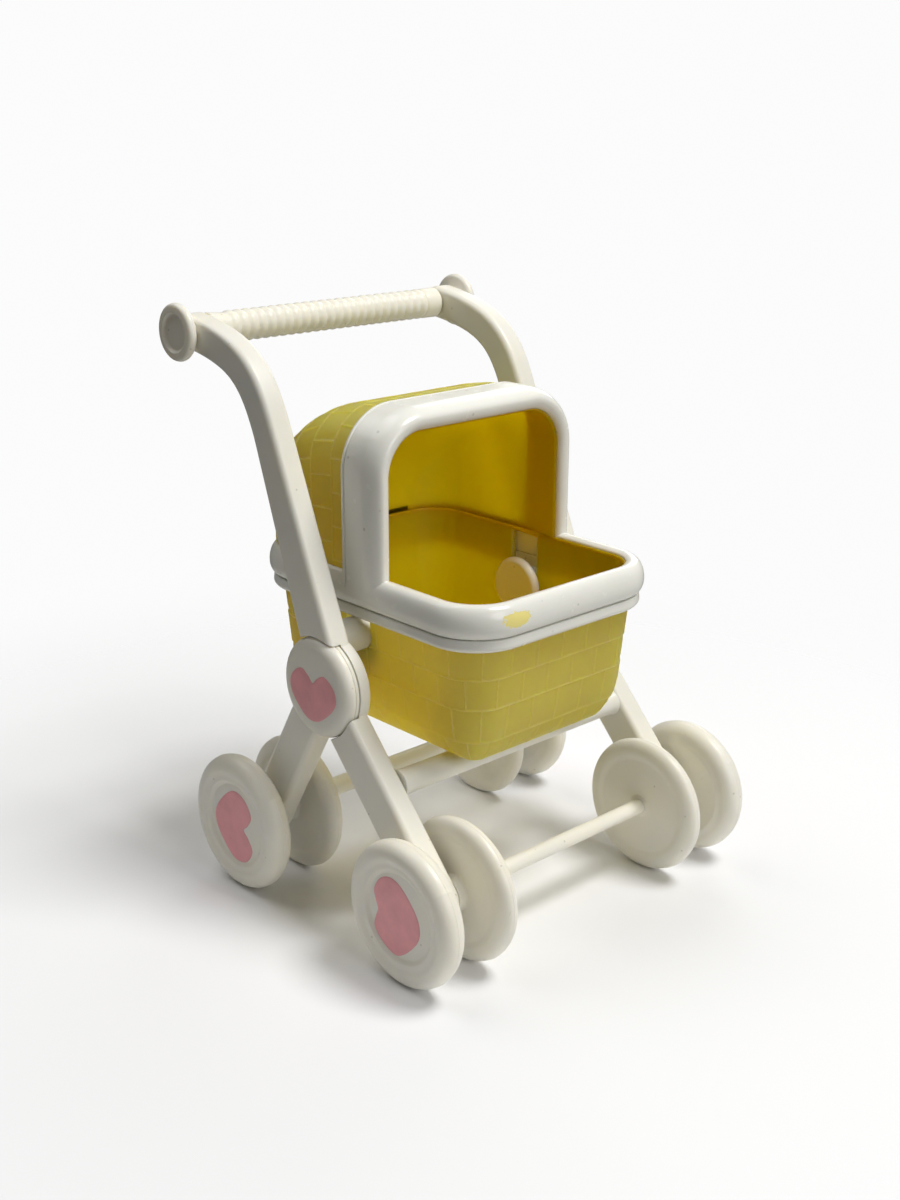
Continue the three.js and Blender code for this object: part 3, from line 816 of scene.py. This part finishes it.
def plan_loop(stations):
    """Skeleton points and outward normals of the basket's rounded outline, at distances along it.

    Distances are measured along the tub's outer wall from the middle of the front, towards +X.
    """
    radius = CORNER - TUB_INSET
    long_x = hood_high[0] - CORNER
    long_y = hood_high[1] - CORNER
    arc = radius * pi / 2
    legs = [("line", long_x, (0, -long_y), (1, 0), -90), ("arc", arc, (long_x, -long_y), None, -90),
            ("line", 2 * long_y, (long_x, -long_y), (0, 1), 0), ("arc", arc, (long_x, long_y), None, 0),
            ("line", 2 * long_x, (long_x, long_y), (-1, 0), 90), ("arc", arc, (-long_x, long_y), None, 90),
            ("line", 2 * long_y, (-long_x, long_y), (0, -1), 180), ("arc", arc, (-long_x, -long_y), None, 180),
            ("line", long_x, (-long_x, -long_y), (1, 0), 270)]
    around = sum(leg[1] for leg in legs)
    cores, normals = [], []
    for s in stations:
        s = s % around
        for kind, length, start, heading, facing in legs:
            if s <= length or leg_is_last(legs, kind, start):
                break
            s -= length
        turn = radians(facing + (90 * s / length if kind == "arc" else 0))
        core = np.array(start, float)
        if kind == "line":
            core = core + np.array(heading, float) * s
        cores.append(core)
        normals.append((cos(turn), sin(turn)))
    return np.array(cores), np.array(normals), around


def leg_is_last(legs, kind, start):
    return kind == legs[-1][0] and start == legs[-1][2]


def around_plan(profile, stations=None, count=240):
    """Sweeps a closed profile of (inset, z) round the basket's outline."""
    if stations is None:
        around = plan_loop([0])[2]
        stations = np.linspace(0, around, count, endpoint=False)
    cores, normals, _ = plan_loop(stations)
    rings = []
    for inset, z in profile:
        rings.append(level_ring(cores, normals, inset, z))
    return loft(rings, closed=True)


def tile_stations(length, pitch, offsets, phase=0.0, between_points=(0.3, 0.5, 0.7)):
    """Distances that follow the tile joints closely and the plain faces loosely."""
    stations = []
    joints = int(ceil(length / pitch)) + 1
    for joint in range(-1, joints + 1):
        at = (joint + phase) * pitch
        stations += [at + offset for offset in offsets]
        stations += [at + pitch * share for share in between_points]
    return sorted(s for s in set(stations) if 0 <= s < length)


def ridge(distance):
    return np.exp(-(distance / RIDGE_HALF) ** 2)


def to_joint(value, pitch):
    """Distance to the nearest multiple of a pitch."""
    return np.abs((value + pitch / 2) % pitch - pitch / 2)


def tile_relief(across, along, length, height):
    """Height of the tile pattern and where its ridges run: staggered tiles, slightly crowned."""
    row = np.floor(across / height)
    shifted = along + (row % 2) * length / 2
    to_row = to_joint(across, height)
    to_column = to_joint(shifted, length)
    crown = CROWN * (1 - np.exp(-(np.minimum(to_row, to_column) / 1.2) ** 2))
    ridges = np.maximum(ridge(to_row), ridge(to_column))
    return RIDGE_HEIGHT * ridges + crown, ridges


def tub_wall(distance, inset, foot, floor):
    """Inset and z at a distance down a wall that leans, then turns in at its foot."""
    lean_height = FLANGE_BOTTOM - TUB_BOTTOM
    straight = lean_height - TUB_FOOT_TALL
    if distance <= straight:
        z = FLANGE_BOTTOM - distance
        pull = 0.0
    else:
        turn = (distance - straight) / FOOT_RUN
        z = floor + (foot + TUB_FOOT_TALL - TUB_FOOT) * (1 - sin(turn))
        pull = foot * (1 - cos(turn))
    return inset + TUB_LEAN * (FLANGE_BOTTOM - z) / lean_height + pull, z


def level_ring(cores, normals, inset, z):
    """Points round the basket's outline at one inset and one height."""
    flat = cores + normals * (CORNER - inset)
    return np.column_stack([flat, np.full(len(flat), z)])


def basket_tub():
    """The tub: one skin outside with its tiles, one inside, and a slot down each side for the pegs."""
    around = plan_loop([0])[2]
    length = around / (2 * round(around / TILE_LENGTH / 2))
    columns = tile_stations(around, length / 2, RIDGE_OFFSETS, between_points=(0.33, 0.5, 0.67))
    cores, normals, _ = plan_loop(columns)
    straight = FLANGE_BOTTOM - TUB_BOTTOM - TUB_FOOT_TALL
    deep = straight + FOOT_RUN * pi / 2
    rows = tile_stations(deep, TILE_HEIGHT, RIDGE_OFFSETS, between_points=(0.25, 0.5, 0.75))
    rows = [0.0] + [v for v in rows if v > 0.05] + [deep]

    inner = TUB_INSET + TUB_WALL
    rings = [level_ring(cores, normals, inner - 0.35, TUB_TOP)]
    rings.append(level_ring(cores, normals, inner, TUB_TOP - 0.35))
    for v in np.concatenate([np.linspace(0, straight, 6), np.linspace(straight, deep, 10)[1:]]):
        rings.append(level_ring(cores, normals, *tub_wall(v, inner, TUB_FOOT - TUB_WALL, TUB_BOTTOM + TUB_WALL)))
    rings = rings[::-1]
    # The inner skin carries the INSIDE mark, so the painted gold glow goes on it.
    marks = [np.full(len(columns), INSIDE) for _ in rings]
    for inset, z in ((TUB_INSET + 0.35, TUB_TOP), (TUB_INSET, TUB_TOP - 0.35), (TUB_INSET, FLANGE_TOP)):
        rings.append(level_ring(cores, normals, inset, z))
    marks += [np.zeros(len(columns)) for _ in range(3)]
    for v in rows:
        inset, z = tub_wall(v, TUB_INSET, TUB_FOOT, TUB_BOTTOM)
        fade = np.clip((deep - v) / 3, 0, 1) * np.clip(v / 0.5, 0, 1)
        lift, ridges = tile_relief(v, np.array(columns), length, TILE_HEIGHT)
        lift = lift * fade
        turn = max(0.0, v - straight) / FOOT_RUN
        flat = cores + normals * (CORNER - inset + lift * cos(turn))[:, None]
        rings.append(np.column_stack([flat, z - lift * sin(turn)]))
        marks.append(ridges * fade)
    points, faces = loft(rings)
    piece = make_piece("woven_tub", points, faces, YELLOW, "basket", 50, np.concatenate(marks))
    rounded = [(PEG[1] + SLOT_HALF * cos(a), PEG[2] + SLOT_HALF * sin(a))
               for a in np.linspace(pi, 2 * pi, 33)]
    outline = np.array(rounded + [(PEG[1] + SLOT_HALF, TUB_TOP + 1), (PEG[1] - SLOT_HALF, TUB_TOP + 1)])
    reach = hood_high[0]
    slot = loft([np.column_stack([np.full(len(outline), x), outline]) for x in (-reach, reach)])
    cut(piece, slot, "DIFFERENCE", 50)
    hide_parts("basket_tub")


def tub_flange():
    """The painted flange under the rim."""
    inner = TUB_INSET + 0.02
    profile = soften([
        (inner, FLANGE_TOP, 0), (FLANGE_INSET + 0.2, FLANGE_TOP, 0.4), (FLANGE_INSET, FLANGE_BOTTOM + 0.9, 0.6),
        (FLANGE_INSET + 0.8, FLANGE_BOTTOM, 0.7), (inner, FLANGE_BOTTOM, 0),
    ])
    make_piece("painted_flange", *around_plan(profile), WHITE, "basket", 50)


def rim_bead():
    """The painted outside of the rim: a full round bead over the tub's edge."""
    top = (2.6, RIM_TOP)
    middle = RIM_BOTTOM + 3.1
    inside = arc((top[0], RIM_TOP - LINING_SUNK), (PAINT_EDGE - top[0], LINING_SUNK), 0, 90, 8)
    outside = arc((top[0], middle), (-top[0], RIM_TOP - middle), 90, 0, 12)
    under = arc((2.0, middle), (-2.0, RIM_BOTTOM - middle), 0, 82, 9)
    profile = [(TUB_INSET - 0.3, RIM_BOTTOM), (TUB_INSET - 0.3, TUB_TOP + 0.3), (PAINT_EDGE, TUB_TOP + 0.3)]
    profile += inside + outside[1:] + under[1:] + [(2.0, RIM_BOTTOM)]
    return around_plan(profile)


def arch_line(z_foot, steps=24):
    """Skeleton points and outward normals along the arch, from its left foot over to its right one."""
    x_core = hood_high[0] - ARCH_CORNER
    z_core = ARCH_TOP - ARCH_CORNER
    half = [((x_core, z), (1, 0)) for z in np.linspace(z_foot, z_core, steps, endpoint=False)]
    for turn in np.linspace(0, pi / 2, steps):
        half.append(((x_core, z_core), (cos(turn), sin(turn))))
    half += [((x, z_core), (0, 1)) for x in np.linspace(x_core, 0, 12)[1:]]
    whole = half + [((-x, z), (-a, b)) for (x, z), (a, b) in half[-2::-1]]
    return np.array([core for core, _ in whole], float), np.array([normal for _, normal in whole], float)


def arch_bead():
    """The painted outside of the upright arch: a round nose, and a fine raised line along its back edge."""
    cores, normals = arch_line(RIM_BOTTOM + 2.5)
    front, back = ARCH_FRONT, ARCH_FRONT + ARCH_DEPTH
    inside = arc((ARCH_CREST, front + 1.6), (PAINT_EDGE - ARCH_CREST, -1.6), 0, 90, 8)
    nose = arc((ARCH_CREST, front + 5.6), (-ARCH_CREST, -5.6), 90, 0, 16)
    edge = [(0.0, back - 1.7), (0.3, back - 1.5), (0.3, back - 1.0), (0.0, back - 0.8), (0.1, back - 0.2), (0.5, back)]
    profile = inside + nose[1:] + edge + [(PAINT_EDGE, back)]
    rings = []
    for inset, y in profile:
        flat = cores + normals * (ARCH_CORNER - inset * (1 + TOP_SWELL * normals[:, 1]))[:, None]
        rings.append(np.column_stack([flat[:, 0], np.full(len(flat), y), flat[:, 1]]))
    return loft(list(np.array(rings).transpose(1, 0, 2)))


def rim_and_arch():
    """Rim and arch joined, with room left for the tub's edge below and for the yellow hood inside."""
    piece = make_piece("painted_rim", *rim_bead(), WHITE, "basket", 42)
    cut(piece, arch_bead(), "UNION", 42)
    cores, normals, _ = plan_loop(np.linspace(0, plan_loop([0])[2], 240, endpoint=False))
    tub_room = loft([level_ring(cores, normals, TUB_INSET - 0.3, z) for z in (RIM_BOTTOM - 1, TUB_TOP + 0.3)])
    cut(piece, tub_room, "DIFFERENCE", 42)
    cut(piece, hood_room(), "DIFFERENCE", 42)
    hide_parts("basket_hood")


def rim_lining():
    """The unpainted yellow edge inside the rim."""
    outside, top = HOOD_INSET + 0.5, RIM_TOP - LINING_SUNK - 0.3
    profile = [(outside, TUB_TOP - 0.3), (outside, top)]
    profile += arc((RIM_WIDTH - 0.25, top), (-0.25, 0.25), 0, 180, 6)
    profile += [(RIM_WIDTH + 0.05, TUB_TOP - 0.3)]
    points, faces = around_plan(profile)
    # The lining carries the INSIDE mark all over, so it takes the painted gold glow.
    make_piece("rim_lining", points, faces, YELLOW, "basket", 50, np.full(len(points), INSIDE))


def lining(y):
    """1 at the mouth of the hood, where its moulding is thickest, falling to 0 further in."""
    share = min(1.0, max(0.0, (LINING_BACK - y) / (LINING_BACK - LINING_FRONT)))
    return share * share * (3 - 2 * share)


def hood_section(y, shares, inner, slack=0.0):
    """One cross-section of the hood's outer or inner skin, as points from its left foot over to its right."""
    inset = HOOD_INSET + (HOOD_WALL + lining(y) * (RIM_WIDTH - HOOD_INSET - HOOD_WALL) if inner else 0) - slack
    sunk = HOOD_INSET / 2 + (HOOD_WALL + lining(y) * LINING_DROP if inner else 0) - slack
    wall = HOOD_WALL - slack if inner else 0.0
    half_x = hood_high[0] - inset
    back = hood_high[1] - HOOD_INSET - wall
    corner = CORNER - HOOD_INSET - wall
    top = ARCH_TOP - sunk
    shoulder = ARCH_CORNER - inset
    sides = top - shoulder - HOOD_BOTTOM
    bend = shoulder * pi / 2
    total = 2 * sides + 2 * bend + 2 * (half_x - shoulder)
    points = []
    for share in shares:
        d = min(share, 1 - share) * total
        if d < sides:
            x, z = half_x, HOOD_BOTTOM + d
        elif d < sides + bend:
            turn = (d - sides) / shoulder
            x, z = half_x - shoulder + shoulder * cos(turn), top - shoulder + shoulder * sin(turn)
        else:
            x, z = half_x - shoulder - (d - sides - bend), top
        points.append((x if share <= 0.5 else -x, z))
    points = np.array(points)
    y = min(y, back)
    past = max(0.0, y - (back - corner))
    narrow = corner - sqrt(max(0.0, corner ** 2 - past ** 2))
    run = max(0.0, y - HOOD_ROOF_START) / (back - HOOD_ROOF_START)
    low = HOOD_BOTTOM + HOOD_UPRIGHT - wall
    roof = low + (top - low) * sqrt(max(0.0, 1 - run ** HOOD_ROOF_POWER))
    lift = (points[:, 1] - HOOD_BOTTOM) / (top - HOOD_BOTTOM)
    return np.column_stack([
        points[:, 0] * (1 - narrow / half_x), np.full(len(points), y), HOOD_BOTTOM + lift * (roof - HOOD_BOTTOM),
    ]), total


def roof_stations(inner, distances, front):
    """The y of points at distances along the middle of the roof, from the front edge, and its whole length."""
    back = hood_high[1] - HOOD_INSET - (HOOD_WALL if inner else 0.0)
    fine = front + (back - front) * np.sin(np.linspace(0, pi / 2, 300))
    line = np.array([hood_section(y, [0.5], inner)[0][0, 1:] for y in fine])
    run = np.concatenate([[0], np.cumsum(np.linalg.norm(np.diff(line, axis=0), axis=1))])
    return np.interp(distances, run, fine), run[-1]


def hood_room():
    """The hollow inside the hood's inner skin, a little large, and open downwards into the tub."""
    front = ARCH_FRONT - 1
    _, length = roof_stations(True, [0.0], front)
    stations, _ = roof_stations(True, np.linspace(0, length, 30), front)
    shares = np.linspace(0, 1, 121)
    rings = []
    for y in stations:
        ring, _ = hood_section(y, shares, True, 0.2)
        ring[0, 2] = ring[-1, 2] = TUB_TOP
        rings.append(ring)
    return loft(rings)


def hood_shell():
    """The hood: tiled outside, smooth inside, and thicker at its mouth, where it lines the painted arch."""
    front = ARCH_FRONT + 2.5
    _, round_length = hood_section(0.0, [0.5], False)
    pitch = round_length / (2 * round(round_length / TILE_LENGTH / 2))
    _, roof_length = roof_stations(False, [0.0], front)
    course = roof_length / round(roof_length / TILE_HEIGHT)
    around = tile_stations(round_length, pitch / 2, RIDGE_OFFSETS, between_points=(0.33, 0.5, 0.67))
    around.append(round_length)
    down = tile_stations(roof_length, course, RIDGE_OFFSETS, between_points=(0.2, 0.4, 0.6, 0.8))
    down.append(roof_length)
    shares = np.array(around) / round_length
    stations, _ = roof_stations(False, down, front)
    outer = np.array([hood_section(y, shares, False)[0] for y in stations])
    normals = np.cross(np.gradient(outer, axis=1), np.gradient(outer, axis=0))
    normals /= np.maximum(np.linalg.norm(normals, axis=2), 1e-9)[:, :, None]
    if np.sum(normals * (outer - HOOD_MIDDLE)) < 0:
        normals = -normals
    lift, ridges = tile_relief(np.array(down)[:, None], np.array(around)[None, :], pitch, course)
    fade = np.clip((outer[:, :, 2] - RIM_TOP + 0.3) / 0.5, 0, 1)
    outer = outer + normals * (lift * fade)[:, :, None]
    lip = LINING_FRONT + 0.5 * (1 - np.cos(np.linspace(0, pi / 2, 5)))
    _, inner_length = roof_stations(True, [0.0], lip[-1])
    inside, _ = roof_stations(True, np.linspace(0, inner_length, 44), lip[-1])
    inner = []
    for y in lip[:-1]:
        rounding = 0.5 - sqrt(max(0.0, 0.25 - (LINING_FRONT + 0.5 - y) ** 2))
        inner.append(hood_section(y, shares, True, rounding)[0])
    inner += [hood_section(y, shares, True)[0] for y in inside]
    skins = list(outer[::-1]) + inner
    count = len(shares)
    faces = []
    for k in range(len(skins) - 1):
        for i in range(count - 1):
            a, b = k * count + i, (k + 1) * count + i
            faces.append((a, a + 1, b + 1, b))
    last_ring = (len(skins) - 1) * count
    faces.append(tuple(range(count)))
    faces.append(tuple(range(last_ring, last_ring + count)))
    for column in (0, count - 1):
        feet = [k * count + column for k in range(len(skins))]
        faces += bridge_lines(feet[:len(outer)], feet[len(outer):][::-1])
    faces.append((0, last_ring, last_ring + count - 1, count - 1))
    # The inner skin carries the INSIDE mark, so the painted gold glow goes on it.
    marks = np.concatenate([(ridges * fade)[::-1].ravel(), np.full(count * len(inner), INSIDE)])
    make_piece("woven_hood", np.concatenate(skins), faces, YELLOW, "basket", 50, marks)


def bridge_lines(a, b):
    """Faces between two open lines of point numbers that start and end side by side."""
    faces = []
    i = j = 0
    while i < len(a) - 1 or j < len(b) - 1:
        if j == len(b) - 1 or (i < len(a) - 1 and (i + 1) / len(a) <= (j + 1) / len(b)):
            faces.append((a[i], a[i + 1], b[j]))
            i += 1
        else:
            faces.append((a[i], b[j + 1], b[j]))
            j += 1
    return faces


def basket_peg(side_name, side):
    low, high = span(f"{side_name}_basket_peg")
    radius = (high[2] - low[2]) / 2
    inner = min(abs(low[0]), abs(high[0]))
    peg = turned(soften([
        (0.5, inner + 0.1, 0), (radius - 2.2, inner + 0.1, 0.8), (radius - 0.9, inner, 0.5),
        (radius, inner + 0.8, 0.6), (radius, inner + 2.0, 0.4), (4.1, inner + 2.0, 0.1),
        (4.1, LEG_INNER + 0.1, 0), (0.5, LEG_INNER + 0.1, 0),
    ]), side, (0, PEG[1], PEG[2]), 72)
    piece = make_piece(f"carrying_peg_{side_name}", *peg, IVORY, "frame")
    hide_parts(f"{side_name}_basket_peg")


# ---- the stroller

for side_name, side in SIDES:
    side_frame(side_name, side)
    rear_leg(side_name, side)
    hub_pin(side_name, side)
    handle_knob(side_name, side)
    basket_peg(side_name, side)
    hub_heart = heart_outline(16.6, 12.0, 2.6, tip_shift=-0.4 * side)
    heart(f"hub_heart_{side_name}", hub_heart, (0.0, HUB[2] - 1.8), HUB_FACE, side, "rear_legs")
    for end, axle, facing, notch in (("front", FRONT_AXLE, -1, 1.2), ("rear", REAR_AXLE, 1, 3.2)):
        face = outer_wheel(end, side_name, side, axle)
        inner_wheel(end, side_name, side, axle)
        outline = heart_outline(18.8, 15.0, notch, turn=90 * facing)
        middle = (axle[1] + (1.5 if end == "rear" else 0.9), axle[2] - 1.0)
        heart(f"wheel_heart_{end}_{side_name}", outline, middle, face, side, f"{end}_wheelset")

for end in ("front", "rear"):
    axle_shaft(end)

handle_grip()
cross_bar()
basket_tub()
tub_flange()
rim_and_arch()
rim_lining()
hood_shell()


# ---- stage

WHITE_LEVEL = 0.97
AMBIENT = 0.08
FLOOR = 0.27
FADE_START = 0.05


def stage_piece(name, mesh, look):
    piece = bpy.data.objects.new(name, mesh)
    bpy.context.scene.collection.objects.link(piece)
    mesh.materials.append(look)
    return piece


def surround():
    """A white dome that only the camera sees, so that it doesn't light the object."""
    mesh = bpy.data.meshes.new("surround")
    work = bmesh.new()
    bmesh.ops.create_uvsphere(work, u_segments=48, v_segments=24, radius=8.0)
    work.to_mesh(mesh)
    work.free()
    look = bpy.data.materials.new("surround")
    look.use_nodes = True
    nodes = look.node_tree.nodes
    glow = nodes.new("ShaderNodeEmission")
    glow.inputs["Color"].default_value = (1.0, 1.0, 1.0, 1.0)
    glow.inputs["Strength"].default_value = WHITE_LEVEL
    look.node_tree.links.new(glow.outputs[0], nodes["Material Output"].inputs["Surface"])
    dome = stage_piece("surround", mesh, look)
    dome.visible_diffuse = False
    dome.visible_glossy = False
    dome.visible_transmission = False
    dome.visible_volume_scatter = False
    dome.visible_shadow = False


def floor():
    """A pale floor that fades into the surround."""
    mesh = bpy.data.meshes.new("floor")
    corners = [(x * FLOOR, y * FLOOR, 0) for x, y in ((-1, -1), (1, -1), (1, 1), (-1, 1))]
    mesh.from_pydata(corners, [], [(0, 1, 2, 3)])
    look, shader, place = node_tree("floor")
    shader.inputs["Base Color"].default_value = (0.9, 0.9, 0.905, 1)
    shader.inputs["Roughness"].default_value = 0.9
    shader.inputs["Specular IOR Level"].default_value = 0.0
    away = add(look, "ShaderNodeVectorMath", {0: place}, operation="LENGTH").outputs["Value"]
    faded = add(look, "ShaderNodeMapRange", {
        "Value": away, "From Min": FADE_START, "From Max": FLOOR * 0.98, "To Min": 0.0, "To Max": 1.0,
    }, interpolation_type="SMOOTHSTEP").outputs["Result"]
    clear = look.node_tree.nodes.new("ShaderNodeBsdfTransparent")
    mix = add(look, "ShaderNodeMixShader", {0: faded, 1: shader.outputs[0], 2: clear.outputs[0]})
    link(look, mix.outputs[0], look.node_tree.nodes["Material Output"].inputs["Surface"])
    stage_piece("floor", mesh, look)


def studio():
    world = bpy.data.worlds.new("studio")
    bpy.context.scene.world = world
    world.use_nodes = True
    background = world.node_tree.nodes["Background"]
    background.inputs["Color"].default_value = (1.0, 0.98, 0.88, 1.0)
    background.inputs["Strength"].default_value = AMBIENT
    surround()
    floor()


def softbox(name, place, aim, size, power, colour=(1.0, 1.0, 1.0)):
    light = bpy.data.lights.new(name, "AREA")
    light.shape = "DISK"
    light.size = size
    light.energy = power
    light.color = colour
    lamp = bpy.data.objects.new(name, light)
    bpy.context.scene.collection.objects.link(lamp)
    lamp.location = place
    lamp.rotation_euler = (Vector(aim) - Vector(place)).to_track_quat("-Z", "Y").to_euler()


def camera():
    data = bpy.data.cameras.new("camera")
    data.sensor_width = 36.0
    data.lens = 45.67
    data.clip_start = 0.01
    shot = bpy.data.objects.new("camera", data)
    bpy.context.scene.collection.objects.link(shot)
    place = Vector((-0.2408, -0.25675, 0.1873))
    aim = Vector((-0.0092, -0.00867, 0.07318))
    shot.location = place
    look = (aim - place).to_track_quat("-Z", "Y")
    roll = Matrix.Rotation(radians(0.24), 4, "Z")
    shot.rotation_mode = "QUATERNION"
    shot.rotation_quaternion = (look.to_matrix().to_4x4() @ roll).to_quaternion()
    bpy.context.scene.camera = shot


studio()
middle = (0.0, 0.0, 0.06)
softbox("key", (0.27, -0.38, 0.95), middle, 0.4, 7.6)
softbox("side", (0.9, 0.5, 0.5), middle, 0.6, 2.0)
softbox("back", (-0.2, 0.5, 0.9), middle, 0.8, 3.0)
softbox("front", (0.0, -1.0, 0.5), middle, 0.6, 3.2)
camera()
bpy.context.scene.view_settings.view_transform = "Standard"
bpy.context.scene.view_settings.look = "None"
